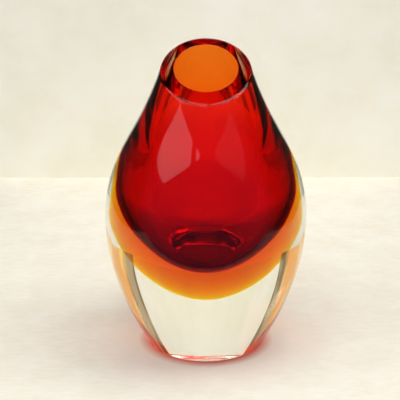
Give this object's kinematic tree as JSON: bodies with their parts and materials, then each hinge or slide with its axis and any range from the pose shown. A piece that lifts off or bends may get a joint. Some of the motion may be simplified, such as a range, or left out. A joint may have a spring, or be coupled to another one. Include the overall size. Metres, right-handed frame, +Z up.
{
  "type": "vase",
  "caption": "Heavy cased glass vase, teardrop body with a slant-cut mouth, ruby and amber layers inside thick clear glass.",
  "frame": {"origin": "centre of the flat ground base", "axes": "+Z up through the centre of the mouth; -Y towards the low lip of the slanted mouth; +X to the right seen from the low lip"},
  "size_m": [0.115, 0.115, 0.1757],
  "materials": {
    "clear_glass": "fire-polished, ground and polished at the mouth and base",
    "amber_glass": "transparent amber, fused on both sides",
    "ruby_glass": "transparent ruby, smooth inside the well"
  },
  "bodies": {
    "root": {"clear_outer_casing": "clear_glass", "amber_middle_layer": "amber_glass", "ruby_inner_layer": "ruby_glass"}
  },
  "joints": []
}
